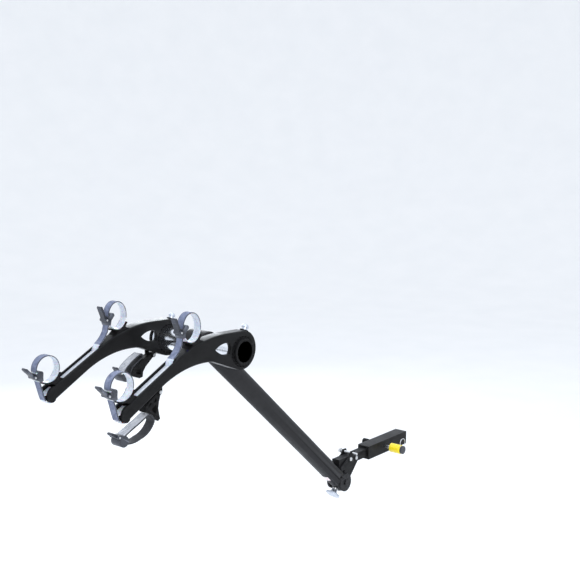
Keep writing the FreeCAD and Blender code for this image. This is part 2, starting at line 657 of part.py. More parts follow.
def make_straps(side, x):
    feet = [on_arm(152, 0), on_arm(181, 0)]
    make_cradle("outer_saddle_" + side, "outer_cradle_" + side, OUTER_RING,
                SIZE["outer_ring_radius"], SIZE["outer_ring_radius"], 30, feet, x)
    feet = [on_top(101.5), ("arc", on_top(105.5)), on_top(109.5)]
    make_cradle("inner_saddle_" + side, "inner_cradle_" + side, INNER_RING,
                SIZE["inner_ring_half_width"], SIZE["inner_ring_half_height"], 20, feet, x)

    thick = SIZE["strap_thick"]
    ring = side_body("outer_ring_" + side,
                     ring_outlines(OUTER_RING, SIZE["outer_ring_radius"], SIZE["outer_ring_radius"], thick),
                     "$strap_width", x)
    tail = side_body("outer_tail_" + side, [ribbon(
        [(-1453, 516), (-1448, 505), (-1441, 480), (-1436, 462), (-1432, 449.5), (-1424, 440.5),
         (-1414, 438.3)], thick)],
        "$strap_width", x)
    run = side_body("outer_run_" + side, [ribbon(
        [on_arm(187, RUN_HEIGHT), on_arm(216, RUN_HEIGHT), (-1436.5, 463)], thick)], "$strap_width", x)
    outer = keep(fuse("outer_strap_solid_" + side, ring, tail, run), "outer_strap_" + side)

    ring = side_body("inner_ring_" + side, ring_outlines(
        INNER_RING, SIZE["inner_ring_half_width"], SIZE["inner_ring_half_height"], thick), "$strap_width", x)
    tail = side_body("inner_tail_" + side, [ribbon(
        [(-1205.2, 640), (-1207.5, 625), (-1211.5, 608), (-1221, 593), (-1233, 581), (-1246, 571.5),
         on_arm(18, RUN_HEIGHT), on_arm(30, RUN_HEIGHT), on_arm(144, RUN_HEIGHT)], thick)],
        "$strap_width", x)
    inner = keep(fuse("inner_strap_solid_" + side, ring, tail), "inner_strap_" + side)

    block = loop_edges([(-1459, 526), (-1451, 530), ("arc", (-1442, 533)), (-1437, 526),
                        (-1438, 514), (-1437, 505), (-1446, 503), (-1458, 511)])
    make_buckle("outer_grip_" + side, "outer_buckle_" + side, block, (-1461.5, 517.5), x, outer)
    make_lever("outer_handle_" + side, "outer_lever_" + side, (-1461.5, 517.5), (-1486, 543), x,
               "$lever_width")
    block = loop_edges([(-1209.5, 650), (-1203, 656), ("arc", (-1192, 661)), (-1187, 652),
                        (-1198, 640), (-1201, 626), (-1210, 626), (-1213, 636)])
    make_buckle("inner_grip_" + side, "inner_buckle_" + side, block, (-1213.5, 642.0), x, inner)
    make_lever("inner_handle_" + side, "inner_lever_" + side, (-1213.5, 642.0), (-1228, 680), x,
               "$lever_width")


# ---------------------------------------------------------------- anti-sway cradles
def sway_frames():
    """Outlines of the two anti-sway cradles as they hang: bracket, holes, band, buckle, lever."""
    right = {
        "bracket": loop_edges([
            (-1290, 496), (-1298, 472), (-1301, 454), (-1298, 436), (-1295, 425), (-1303, 419.5),
            (-1310, 425.5), ("arc", (-1324, 443)), (-1346, 451), (-1343, 468), (-1330, 479),
            (-1304, 496), ("arc", (-1299, 503.5))]),
        "holes": [loop_edges([(-1336, 464), (-1323, 470), (-1328, 474)]),
                  loop_edges([(-1317, 471), (-1306, 475), (-1309, 484)]),
                  loop_edges([(-1326, 455), (-1311, 441), (-1307, 456), (-1310, 466)])],
        "band": loop_edges([
            (-1338, 445.5), ("arc", (-1322.5, 437)), (-1317.5, 421), ("arc", (-1333, 401)), (-1365, 386),
            ("arc", (-1388, 381)), (-1411, 382.5), ("arc", (-1426, 390)), (-1423, 404),
            ("arc", (-1398, 417)), (-1374, 427.5)]),
        "knob": (-1422.0, 393.0), "lever": ((-1436.0, 406.5), (-1452.0, 417.0))}
    left = {
        "bracket": loop_edges([
            (-1033, 511), (-1071, 480), (-1081, 466), (-1083, 451), (-1095, 448.5), (-1116, 457),
            (-1119, 481), (-1102, 488.5), (-1078, 506), (-1046, 515), ("arc", (-1041, 519))]),
        "holes": [loop_edges([(-1089, 459), (-1108, 464), (-1109, 475), (-1090, 478)])],
        "band": loop_edges([
            (-1085, 510), ("arc", (-1082, 519)), (-1091, 523), ("arc", (-1114, 513)), (-1139, 497),
            ("arc", (-1152, 485)), (-1160, 470), ("arc", (-1157, 457)), (-1144, 458),
            ("arc", (-1132, 471)), (-1123, 487)]),
        "knob": (-1152.0, 464.0), "lever": ((-1166.5, 476.5), (-1178.0, 493.0))}
    return {"right": right, "left": left}


def make_sway(side, x):
    shape = sway_frames()[side]
    pivot = SWAY_PIVOT[side]
    bracket = side_body("sway_frame_" + side, [shape["bracket"]], "$sway_bracket_width", x)
    side_pocket(bracket, "sway_holes_" + side, shape["holes"] + [circle(pivot[0], pivot[1], 3.06)],
                "$sway_bracket_width + 2")
    band = side_body("sway_loop_" + side, [shape["band"], inset(shape["band"], SIZE["sway_strap_thick"])],
                     "$sway_strap_width", x)
    keep(cut("sway_bracket_cut_" + side, bracket, band), "sway_bracket_" + side)
    keep(band, "sway_strap_" + side)
    y, z = shape["knob"]
    foot, tip = shape["lever"]
    make_buckle("sway_grip_" + side, "sway_buckle_" + side, circle(y, z, 15.0), foot, x, band,
                "sway_buckle_width")
    make_lever("sway_handle_" + side, "sway_lever_" + side, foot, tip, x, "$lever_width")
    reach = SIZE["sway_bracket_width"] / 2 + 5.5
    pin = cylinder("sway_axle_" + side, "3.0", "$sway_bracket_width + 11", (x - reach, pivot[0], pivot[1]))
    head = cylinder("sway_axle_head_" + side, "5.0", "2.5", (x + reach - 0.9, pivot[0], pivot[1]))
    keep(fuse("sway_pin_" + side, pin, head), "sway_pin_" + side)


make_shank()
make_adapter()
make_bracket()
make_hitch_pin()
make_mast()
make_tilt_knob()
make_latch_pin()
for arm_side, arm_sign in (("right", 1), ("left", -1)):
    make_arm(arm_side, arm_sign * SIZE["arm_x"])
    make_straps(arm_side, arm_sign * SIZE["arm_x"])
    make_sway(arm_side, arm_sign * SIZE["arm_x"])

# ---------------------------------------------------------------- check and write
doc.recompute()
faults = [obj.Label for obj in doc.Objects if "Invalid" in obj.State or "Error" in obj.State]
for obj in SUBPARTS:
    shape = obj.Shape
    if shape.isNull() or not shape.isValid() or not shape.Solids:
        faults.append(obj.Label)
if faults:
    raise SystemExit("faulty objects: " + ", ".join(faults))
for obj in SUBPARTS:
    obj.Shape.exportStep("parts/%s.step" % obj.Label)
    print(obj.Label, len(obj.Shape.Solids), round(obj.Shape.Volume))
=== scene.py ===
"""Looks of the hitch mounted bike rack: materials, strap ladders, welds, grips, studio and camera.

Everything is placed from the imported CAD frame, in metres: +Y forward, +X right, +Z up.
"""
import bmesh
import bpy
import json
import math
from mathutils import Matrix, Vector
from mathutils.bvhtree import BVHTree


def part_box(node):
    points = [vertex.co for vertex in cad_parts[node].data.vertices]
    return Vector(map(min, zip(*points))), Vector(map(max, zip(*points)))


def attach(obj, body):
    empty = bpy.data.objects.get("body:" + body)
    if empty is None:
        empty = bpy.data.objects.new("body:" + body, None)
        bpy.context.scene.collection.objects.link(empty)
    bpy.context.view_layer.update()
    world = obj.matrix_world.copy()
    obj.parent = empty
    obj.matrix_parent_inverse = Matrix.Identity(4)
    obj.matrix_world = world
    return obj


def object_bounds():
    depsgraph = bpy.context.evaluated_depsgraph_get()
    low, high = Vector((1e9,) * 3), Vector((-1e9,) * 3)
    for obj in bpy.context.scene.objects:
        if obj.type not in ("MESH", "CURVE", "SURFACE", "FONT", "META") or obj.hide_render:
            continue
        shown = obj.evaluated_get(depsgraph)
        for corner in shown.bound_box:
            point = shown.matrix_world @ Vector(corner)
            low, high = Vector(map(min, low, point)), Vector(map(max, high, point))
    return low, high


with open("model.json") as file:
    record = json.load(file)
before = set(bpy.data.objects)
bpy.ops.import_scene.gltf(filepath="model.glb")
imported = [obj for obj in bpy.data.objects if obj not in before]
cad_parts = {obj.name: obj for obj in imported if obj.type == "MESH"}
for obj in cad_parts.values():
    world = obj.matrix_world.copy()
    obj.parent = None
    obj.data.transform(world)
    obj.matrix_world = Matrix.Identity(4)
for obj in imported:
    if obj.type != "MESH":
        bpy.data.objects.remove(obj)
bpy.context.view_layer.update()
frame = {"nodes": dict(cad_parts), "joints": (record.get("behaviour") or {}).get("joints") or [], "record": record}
NODES = frame["nodes"]
SIDES = ("right", "left")
MM = 0.001
ACROSS = Vector((1.0, 0.0, 0.0))


def corners_of(node):
    """Low and high corner of a node's box."""
    low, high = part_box(node)
    return Vector(low), Vector(high)


def centre_of(node):
    low, high = corners_of(node)
    return (low + high) / 2


def joint_named(name):
    return next(joint for joint in frame["joints"] if joint["name"] == name)


# ---------------------------------------------------------------- materials
def new_material(name, colour, rough, **sockets):
    """Principled material; the sockets that don't vary are set on the shader itself."""
    made = bpy.data.materials.new(name)
    made.use_nodes = True
    shader = made.node_tree.nodes["Principled BSDF"]
    shader.inputs["Base Color"].default_value = (*colour, 1.0)
    shader.inputs["Roughness"].default_value = rough
    for socket, value in sockets.items():
        shader.inputs[socket.replace("_", " ")].default_value = value
    return made


def noise(tree, scale, detail=4.0, stretch=None):
    """Noise over the object's own coordinates, in metres; stretch squeezes it along axes."""
    coords = tree.nodes.new("ShaderNodeTexCoord")
    grain = tree.nodes.new("ShaderNodeTexNoise")
    grain.inputs["Scale"].default_value = scale
    grain.inputs["Detail"].default_value = detail
    if stretch is None:
        tree.links.new(coords.outputs["Object"], grain.inputs["Vector"])
    else:
        mapping = tree.nodes.new("ShaderNodeMapping")
        mapping.inputs["Scale"].default_value = stretch
        tree.links.new(coords.outputs["Object"], mapping.inputs["Vector"])
        tree.links.new(mapping.outputs["Vector"], grain.inputs["Vector"])
    return grain.outputs["Fac"]


def ramp(tree, source, low, high, dark, light):
    """Colour that runs from dark to light as the source goes from low to high."""
    band = tree.nodes.new("ShaderNodeValToRGB")
    band.color_ramp.elements[0].position = low
    band.color_ramp.elements[1].position = high
    band.color_ramp.elements[0].color = (*dark, 1.0)
    band.color_ramp.elements[1].color = (*light, 1.0)
    tree.links.new(source, band.inputs["Fac"])
    return band.outputs["Color"]


def vary_colour(made, scale, dark, light, stretch=None, low=0.3, high=0.7):
    tree = made.node_tree
    shader = tree.nodes["Principled BSDF"]
    colour = ramp(tree, noise(tree, scale, 5.0, stretch), low, high, dark, light)
    tree.links.new(colour, shader.inputs["Base Color"])
    return made


def vary_roughness(made, scale, smooth, rough, stretch=None):
    tree = made.node_tree
    shader = tree.nodes["Principled BSDF"]
    spread = tree.nodes.new("ShaderNodeMapRange")
    spread.inputs["To Min"].default_value = smooth
    spread.inputs["To Max"].default_value = rough
    spread.inputs["From Min"].default_value = 0.3
    spread.inputs["From Max"].default_value = 0.7
    tree.links.new(noise(tree, scale, 4.0, stretch), spread.inputs["Value"])
    tree.links.new(spread.outputs["Result"], shader.inputs["Roughness"])
    return made


def bump(made, scale, depth, stretch=None, detail=2.0, strength=0.6):
    """Fine relief; depth is its height in metres."""
    tree = made.node_tree
    shader = tree.nodes["Principled BSDF"]
    relief = tree.nodes.new("ShaderNodeBump")
    relief.inputs["Strength"].default_value = strength
    relief.inputs["Distance"].default_value = depth
    tree.links.new(noise(tree, scale, detail, stretch), relief.inputs["Height"])
    tree.links.new(relief.outputs["Normal"], shader.inputs["Normal"])
    return made


def edge_wear_and_highlight(made, worn_and_lit_colour, amount=0.5):
    """Rubbed edges and painted highlight: the colour turns towards a lighter edge colour where the surface is
    sharply convex.
    """
    tree = made.node_tree
    shader = tree.nodes["Principled BSDF"]
    geometry = tree.nodes.new("ShaderNodeNewGeometry")
    # Pointiness mask: lighter on sharp edges, partly rubbed wear and partly painted highlight.
    mask = ramp(tree, geometry.outputs["Pointiness"], 0.52, 0.60, (0, 0, 0), (amount,) * 3)
    mix = tree.nodes.new("ShaderNodeMix")
    mix.data_type = "RGBA"
    mix.inputs["B"].default_value = (*worn_and_lit_colour, 1.0)
    link = shader.inputs["Base Color"].links
    if link:
        tree.links.new(link[0].from_socket, mix.inputs["A"])
    else:
        mix.inputs["A"].default_value = shader.inputs["Base Color"].default_value
    tree.links.new(mask, mix.inputs["Factor"])
    tree.links.new(mix.outputs["Result"], shader.inputs["Base Color"])
    return made


def powder_coat():
    """Charcoal powder coat with its orange-peel skin, and lighter edges that are partly rubbed wear and partly
    painted highlight.
    """
    made = new_material("powder_coat", (0.012, 0.012, 0.013), 0.42, Specular_IOR_Level=0.1)
    vary_colour(made, 60.0, (0.0055, 0.0055, 0.006), (0.0115, 0.0115, 0.012))
    vary_roughness(made, 25.0, 0.34, 0.48)
    bump(made, 900.0, 0.00012)
    return edge_wear_and_highlight(made, (0.07, 0.07, 0.075), 0.3)


def arm_moulding():
    """Semi-gloss moulded black with a faint flow grain along the arm."""
    made = new_material("arm_moulding", (0.007, 0.007, 0.0075), 0.36, Specular_IOR_Level=0.16)
    vary_colour(made, 40.0, (0.003, 0.003, 0.0034), (0.0075, 0.0075, 0.008), (1.0, 0.35, 1.0))
    vary_roughness(made, 30.0, 0.30, 0.42)
    return bump(made, 1400.0, 0.00006)


def black_nylon():
    """Matte black nylon with a spark-eroded mould grain."""
    made = new_material("black_nylon", (0.009, 0.009, 0.01), 0.5, Specular_IOR_Level=0.1)
    vary_colour(made, 150.0, (0.006, 0.006, 0.0066), (0.013, 0.013, 0.0138))
    vary_roughness(made, 60.0, 0.42, 0.58)
    return bump(made, 2200.0, 0.0001)


def buckle_plastic():
    """Dark blue-grey glass-filled nylon of the ratchet buckles, with a painted bluish highlight on its sharp
    edges.
    """
    made = new_material("buckle_plastic", (0.018, 0.02, 0.028), 0.28)
    vary_colour(made, 220.0, (0.009, 0.010, 0.014), (0.024, 0.027, 0.038))
    vary_roughness(made, 90.0, 0.3, 0.46)
    bump(made, 1800.0, 0.00008)
    return edge_wear_and_highlight(made, (0.22, 0.24, 0.3), 0.5)


def strap_plastic():
    """Translucent pale polyurethane of the ladder straps, clouded, with drawn streaks."""
    made = new_material("strap_plastic", (0.72, 0.77, 0.86), 0.28, Subsurface_Weight=0.25,
                        Transmission_Weight=0.12, Coat_Weight=0.2)
    made.node_tree.nodes["Principled BSDF"].inputs["Subsurface Scale"].default_value = 0.003
    vary_colour(made, 55.0, (0.60, 0.66, 0.78), (0.84, 0.88, 0.93))
    vary_roughness(made, 80.0, 0.2, 0.38)
    return bump(made, 700.0, 0.0001, (3.0, 0.6, 0.6))


def shaded_ladder():
    """Outer face of a ladder strap, painted blue-grey as painted shade; the strap's own plastic is pale."""
    made = new_material("shaded_ladder", (0.17, 0.2, 0.32), 0.32)
    vary_colour(made, 90.0, (0.12, 0.145, 0.245), (0.25, 0.285, 0.41))
    vary_roughness(made, 80.0, 0.26, 0.42)
    return bump(made, 900.0, 0.00008)


def shaded_rail():
    """Dark edge of a strap: painted shade for the light lost inside it."""
    made = new_material("shaded_rail", (0.05, 0.055, 0.075), 0.4)
    vary_colour(made, 120.0, (0.032, 0.036, 0.052), (0.085, 0.092, 0.12))
    return bump(made, 900.0, 0.00006)


def lit_ladder():
    """The ladder where it lies along the arm, painted pale and silvery as painted light from above."""
    made = new_material("lit_ladder", (0.7, 0.73, 0.78), 0.26, Metallic=0.2)
    vary_colour(made, 90.0, (0.58, 0.62, 0.69), (0.82, 0.84, 0.88))
    return bump(made, 900.0, 0.00006)


def sway_plastic():
    """Silver-grey ladder on the anti-sway straps' outer face."""
    made = new_material("sway_plastic", (0.66, 0.69, 0.75), 0.28, Metallic=0.15)
    vary_colour(made, 70.0, (0.52, 0.55, 0.62), (0.78, 0.8, 0.85))
    vary_roughness(made, 80.0, 0.24, 0.4)
    return bump(made, 800.0, 0.0001)


def sway_rubber():
    """Dark rubber lining of the anti-sway straps."""
    made = new_material("sway_rubber", (0.02, 0.021, 0.026), 0.55)
    vary_colour(made, 130.0, (0.013, 0.014, 0.018), (0.032, 0.034, 0.042))
    return bump(made, 600.0, 0.00015, (1.0, 4.0, 4.0))


def silver_tube():
    """Bright drawn tube with long, very fine polishing lines."""
    made = new_material("silver_tube", (0.80, 0.83, 0.88), 0.16, Metallic=1.0)
    vary_colour(made, 30.0, (0.72, 0.76, 0.83), (0.88, 0.90, 0.93), (0.2, 4.0, 4.0))
    vary_roughness(made, 45.0, 0.10, 0.24, (0.15, 6.0, 6.0))
    return bump(made, 300.0, 0.00003, (0.1, 8.0, 8.0))


def paint_bore_shade(made, centre, radius):
    """Painted shade inside a tube along X: everything nearer to its axis than a radius turns near black."""
    tree = made.node_tree
    shader = tree.nodes["Principled BSDF"]
    coords = tree.nodes.new("ShaderNodeTexCoord")
    moved = tree.nodes.new("ShaderNodeMapping")
    moved.inputs["Location"].default_value = (0.0, -centre.y, -centre.z)
    flat = tree.nodes.new("ShaderNodeVectorMath")
    flat.operation = "MULTIPLY"
    flat.inputs[1].default_value = (0.0, 1.0, 1.0)
    reach = tree.nodes.new("ShaderNodeVectorMath")
    reach.operation = "LENGTH"
    tree.links.new(coords.outputs["Object"], moved.inputs["Vector"])
    tree.links.new(moved.outputs["Vector"], flat.inputs[0])
    tree.links.new(flat.outputs["Vector"], reach.inputs[0])
    inside = tree.nodes.new("ShaderNodeMath")
    inside.operation = "LESS_THAN"
    inside.inputs[1].default_value = radius
    tree.links.new(reach.outputs["Value"], inside.inputs[0])
    mix = tree.nodes.new("ShaderNodeMix")
    mix.data_type = "RGBA"
    tree.links.new(shader.inputs["Base Color"].links[0].from_socket, mix.inputs["A"])
    mix.inputs["B"].default_value = (0.012, 0.012, 0.013, 1.0)
    tree.links.new(inside.outputs["Value"], mix.inputs["Factor"])
    tree.links.new(mix.outputs["Result"], shader.inputs["Base Color"])
    return made


def zinc_plate():
    """Bright zinc plate, slightly mottled, with a hint of yellow and blue."""
    made = new_material("zinc_plate", (0.58, 0.59, 0.6), 0.3, Metallic=1.0)
    vary_colour(made, 180.0, (0.46, 0.48, 0.52), (0.70, 0.69, 0.66))
    vary_roughness(made, 140.0, 0.2, 0.4)
    return bump(made, 1200.0, 0.00005)


def machined_steel():
    """Turned steel with fine tool marks."""
    made = new_material("machined_steel", (0.4, 0.41, 0.43), 0.35, Metallic=1.0)
    vary_colour(made, 160.0, (0.3, 0.31, 0.33), (0.5, 0.5, 0.52))
    return bump(made, 900.0, 0.00008, (6.0, 1.0, 1.0))


def yellow_vinyl():
    """Glossy yellow sleeve of the lock, softly uneven, paler at its rims: partly scuffs and partly painted
    highlight.
    """
    made = new_material("yellow_vinyl", (0.92, 0.72, 0.01), 0.3, Coat_Weight=0.2)
    made.node_tree.nodes["Principled BSDF"].inputs["Coat Roughness"].default_value = 0.1
    vary_colour(made, 90.0, (0.86, 0.64, 0.006), (0.96, 0.78, 0.012))
    vary_roughness(made, 110.0, 0.16, 0.32)
    bump(made, 500.0, 0.0001)
    return edge_wear_and_highlight(made, (0.95, 0.82, 0.2), 0.3)


def lock_cap():
    """Dark grey rubbery end cap of the lock."""
    made = new_material("lock_cap", (0.035, 0.038, 0.045), 0.5)
    vary_colour(made, 200.0, (0.026, 0.028, 0.034), (0.05, 0.053, 0.062))
    return bump(made, 1600.0, 0.0001)


def sticker():
    """Pale unlettered sticker with faint pink blotches and a papery surface."""
    made = new_material("sticker", (0.82, 0.74, 0.75), 0.45)
    vary_colour(made, 160.0, (0.80, 0.60, 0.63), (0.90, 0.87, 0.86), None, 0.38, 0.5)
    return bump(made, 2500.0, 0.00005)


def knob_silver():
    """Silver-coloured moulded knob: metal flake in a satin plastic."""
    made = new_material("knob_silver", (0.52, 0.56, 0.63), 0.28, Metallic=0.75)
    vary_colour(made, 900.0, (0.44, 0.49, 0.58), (0.66, 0.70, 0.77))
    vary_roughness(made, 120.0, 0.2, 0.36)
    return bump(made, 1500.0, 0.00004)


def weld_steel():
    """Weld bead under powder coat, rippled across its run."""
    made = new_material("weld_steel", (0.018, 0.018, 0.019), 0.45)
    vary_colour(made, 250.0, (0.012, 0.012, 0.013), (0.03, 0.03, 0.031))
    return bump(made, 700.0, 0.0004)


LOOKS = {
    "black_steel": powder_coat(), "arm_black": arm_moulding(), "black_nylon": black_nylon(),
    "buckle_grey": buckle_plastic(), "strap_clear": strap_plastic(), "silver_tube": silver_tube(),
    "steel_hardware": zinc_plate(), "bare_steel": machined_steel(), "yellow_vinyl": yellow_vinyl(),
    "lock_cap": lock_cap(), "sticker": sticker(), "knob_silver": knob_silver(),
}
# Copies of the one pale strap plastic: the ladder look is painted shade, the pale ladder look painted light, and
# the rail look painted shade on the strap edges.
SHADED_LADDER = shaded_ladder()
LIT_LADDER = lit_ladder()
SHADED_RAIL = shaded_rail()
SWAY = sway_plastic()
SWAY_LINING = sway_rubber()
WELD = weld_steel()


def dress_frame():
    """Gives every CAD node the look of its material slot."""
    for entry in frame["record"]["subparts"]:
        node = NODES[entry["node"]]
        node.data.materials.clear()
        node.data.materials.append(LOOKS[entry["material_slot"]])
    for side in SIDES:
        NODES["sway_strap_" + side].data.materials[0] = SWAY_LINING
    low, high = corners_of("cross_tube")
    # The cross tube's bore gets painted shade: near black inside the silver tube.
    tube = paint_bore_shade(silver_tube(), (low + high) / 2, (high.z - low.z) / 2 - 2.0 * MM)
    NODES["cross_tube"].data.materials[0] = tube


# ---------------------------------------------------------------- mesh helpers
def solid(name, mesh, look, body):
    """Links a bmesh as a finished piece that rides on a body."""
    bmesh.ops.recalc_face_normals(mesh, faces=mesh.faces)
    data = bpy.data.meshes.new(name)
    mesh.to_mesh(data)
    mesh.free()
    piece = bpy.data.objects.new(name, data)
    bpy.context.scene.collection.objects.link(piece)
    data.materials.append(look)
    data.shade_smooth()
    weighted = piece.modifiers.new("normals", "WEIGHTED_NORMAL")
    weighted.keep_sharp = True
    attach(piece, body)
    return piece


def sweep(mesh, path, section, closed=False):
    """Skins a section, a list of (across, up) offsets, along a list of (point, across, up)."""
    rings = []
    for point, across, up in path:
        rings.append([mesh.verts.new(point + across * a + up * b) for a, b in section])
    count = len(section)
    spans = len(rings) if closed else len(rings) - 1
    for i in range(spans):
        here, there = rings[i], rings[(i + 1) % len(rings)]
        for j in range(count):
            k = (j + 1) % count
            mesh.faces.new((here[j], here[k], there[k], there[j]))
    if not closed:
        mesh.faces.new(rings[0][::-1])
        mesh.faces.new(rings[-1])


def soften_node(name, width):
    """Rounds the sharp edges of a CAD node for the light to catch."""
    sharp_from = 40.0
    node = NODES[name]
    weld = node.modifiers.new("weld", "WELD")
    weld.merge_threshold = 0.00002
    rounder = node.modifiers.new("soften", "BEVEL")
    rounder.width = width
    rounder.segments = 2
    rounder.limit_method = "ANGLE"
    rounder.angle_limit = math.radians(sharp_from)


# ---------------------------------------------------------------- straps
def surface_line(node, rays, step=0.0012):
    """Even points along a strap's surface where the rays first meet it, as runs without gaps."""
    mesh = NODES[node].data
    tree = BVHTree.FromPolygons([v.co for v in mesh.vertices], [p.vertices for p in mesh.polygons])
    runs = [[]]
    for origin, direction in rays:
        hit = tree.ray_cast(origin, direction)[0]
        if hit is None:
            continue
        if runs[-1] and (hit - runs[-1][-1][0]).length > 0.006:
            runs.append([])
        if not runs[-1] or (hit - runs[-1][-1][0]).length > 0.00001:
            runs[-1].append((hit, -direction))
    lines = []
    for run in runs:
        if len(run) < 6:
            continue
        line = [run[0]]
        for point, outward in run:
            while (point - line[-1][0]).length > step:
                last = line[-1][0]
                line.append((last + (point - last).normalized() * step, outward))
        lines.append(with_normals(line))
    return lines


def with_normals(line):
    """Adds the outward normal to each point, square to the line and to X."""
    framed = []
    for i, (point, outward) in enumerate(line):
        ahead = line[min(i + 2, len(line) - 1)][0]
        behind = line[max(i - 2, 0)][0]
        normal = (ahead - behind).cross(ACROSS).normalized()
        if normal.dot(outward) < 0:
            normal.negate()
        framed.append((point, normal))
    return framed


def ring_rays(centre, reach, start, end, count=360):
    """Rays from outside towards a centre, turning from a start to an end angle in degrees."""
    rays = []
    for i in range(count + 1):
        angle = math.radians(start + (end - start) * i / count)
        out = Vector((0.0, math.cos(angle), math.sin(angle)))
        rays.append((centre + out * reach, -out))
    return rays


def line_rays(start, end, direction, count=240):
    """Parallel rays whose origins run from a start to an end."""
    return [(start.lerp(end, i / count), direction) for i in range(count + 1)]


def ladder(name, lines, half, look, body, rail_look, pitch=4.0 * MM):
    """Ladder skin over a strap: a thin web, rungs across it, and dark rails round both edges."""
    # heights of the web and the rungs, width of a rail and how far it hangs down the strap's edge
    web, rung, rail = 0.25 * MM, 0.85 * MM, 0.7 * MM
    sunk, overhang, hang = -0.2 * MM, 0.25 * MM, -1.9 * MM
    skin = bmesh.new()
    edges = bmesh.new()
    for line in lines:
        path = [(point, ACROSS, normal) for point, normal in line]
        sweep(skin, path, [(-half + rail, sunk), (-half + rail, web), (half - rail, web),
                           (half - rail, sunk)])
        for sign in (-1, 1):
            near, far = sign * (half - rail), sign * (half + overhang)
            sweep(edges, path, [(near, -0.3 * MM), (near, rung), (far, 0.6 * rung), (far, hang),
                                (sign * half * 0.995, hang), (sign * half * 0.98, -0.3 * MM)])
        step = (line[1][0] - line[0][0]).length
        every = max(2, round(pitch / step))
        for i in range(every, len(line) - every, every):
            point, normal = line[i]
            along = (line[i + 1][0] - line[i - 1][0]).normalized()
            reach = half - 2.2 * MM
            add_rung(skin, point, ACROSS, along, normal, reach, 0.75 * MM, web, rung)
    solid(name + "_ladder", skin, look, body)
    solid(name + "_rails", edges, rail_look, body)


def add_rung(mesh, point, across, along, up, reach, half, low, high):
    """One ridge across a strap, with a narrowed crest."""
    corners = []
    # each level: height, share of the reach and share of the half width
    for level, long_share, wide_share in ((low - 0.3 * MM, 1.0, 1.0), (high * 0.75, 1.0, 1.0),
                                          (high, 0.97, 0.55)):
        for a, b in ((-1, -1), (1, -1), (1, 1), (-1, 1)):
            corners.append(mesh.verts.new(point + across * a * reach * long_share
                                          + along * b * half * wide_share + up * level))
    for base in (0, 4):
        lower, upper = corners[base:base + 4], corners[base + 4:base + 8]
        for j in range(4):
            k = (j + 1) % 4
            mesh.faces.new((lower[j], lower[k], upper[k], upper[j]))
    mesh.faces.new(corners[8:12])


def make_sway_band(side):
    """Ladder round an anti-sway strap, with dark slots on top of it near the buckle."""
    slots_from, slots_to, slot_pitch = 14 * MM, 44 * MM, 4
    low, high = corners_of("sway_strap_" + side)
    half = (high.x - low.x) / 2
    loop = surface_line("sway_strap_" + side, ring_rays((low + high) / 2, 0.12, 0, 360, 900))
    ladder("sway_strap_" + side, loop, half, SWAY, "sway_" + side, SWAY_LINING, 4.5 * MM)
    slots = bmesh.new()
    buckle = centre_of("sway_buckle_" + side)
    for line in loop:
        for i in range(slot_pitch, len(line) - slot_pitch, slot_pitch):
            point, normal = line[i]
            if normal.z > 0.5 and slots_from < (point - buckle).length < slots_to:
                along = (line[i + 1][0] - line[i - 1][0]).normalized()
                add_rung(slots, point, ACROSS, along, normal, half * 0.55, 0.9 * MM, 0.3 * MM, 0.5 * MM)
    solid("sway_slots_" + side, slots, SWAY_LINING, "sway_" + side)


def make_ladders():
    outer_radius = 38.0 * MM
    inner_half = Vector((0.0, 33.5, 41.5)) * MM
    for side in SIDES:
        arm = "arm_" + side
        low, high = corners_of("outer_strap_" + side)
        x = (low.x + high.x) / 2
        half = (high.x - low.x) / 2
        centre = Vector((x, high.y - outer_radius, high.z - outer_radius))
        buckle_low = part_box("outer_buckle_" + side)[0][2]
        lines = surface_line("outer_strap_" + side, ring_rays(centre, 60 * MM, -18, 186))
        rear = low.y - 30 * MM
        lines += surface_line("outer_strap_" + side, line_rays(
            Vector((x, rear, buckle_low)), Vector((x, rear, low.z + 9 * MM)), Vector((0, 1, 0))))
        # Loops and tails take the blue-grey ladder look and the dark rail look: painted shade on the face and the
        # edges.
        ladder("outer_strap_" + side, lines, half, SHADED_LADDER, arm, SHADED_RAIL)

        low, high = corners_of("inner_strap_" + side)
        centre = Vector((x, high.y - inner_half.y, high.z - inner_half.z))
        buckle_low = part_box("inner_buckle_" + side)[0][2]
        beam_top = centre.z - 76 * MM
        rear = centre.y - 105 * MM
        lines = surface_line("inner_strap_" + side, ring_rays(centre, 60 * MM, -18, 180))
        lines += surface_line("inner_strap_" + side, line_rays(
            Vector((x, rear, buckle_low)), Vector((x, rear, beam_top)), Vector((0, 1, 0))))
        ladder("inner_strap_" + side, lines, half, SHADED_LADDER, arm, SHADED_RAIL)
        run = surface_line("inner_strap_" + side, line_rays(
            Vector((x, centre.y - 80 * MM, centre.z)), Vector((x, low.y + 2 * MM, centre.z)),
            Vector((0, 0, -1))))
        # The run along the arm's top takes the pale ladder look: painted light where the strap faces up.
        ladder("arm_strip_" + side, run, half, LIT_LADDER, arm, SHADED_RAIL, 5.0 * MM)
        make_sway_band(side)


# ---------------------------------------------------------------- welds, rivets and grips
def lathe(mesh, centre, axis, profile, segments=32):
    """Turned shape: a profile of (radius, height) about an axis, closed at both ends."""
    turn = Vector((0, 0, 1)).rotation_difference(axis).to_matrix()
    rings = []
    for radius, height in profile:
        rings.append([mesh.verts.new(centre + turn @ Vector((
            radius * math.cos(math.tau * i / segments), radius * math.sin(math.tau * i / segments), height)))
            for i in range(segments)])
    for lower, upper in zip(rings, rings[1:]):
        for i in range(segments):
            k = (i + 1) % segments
            mesh.faces.new((lower[i], lower[k], upper[k], upper[i]))
    mesh.faces.new(rings[0][::-1])
    mesh.faces.new(rings[-1])


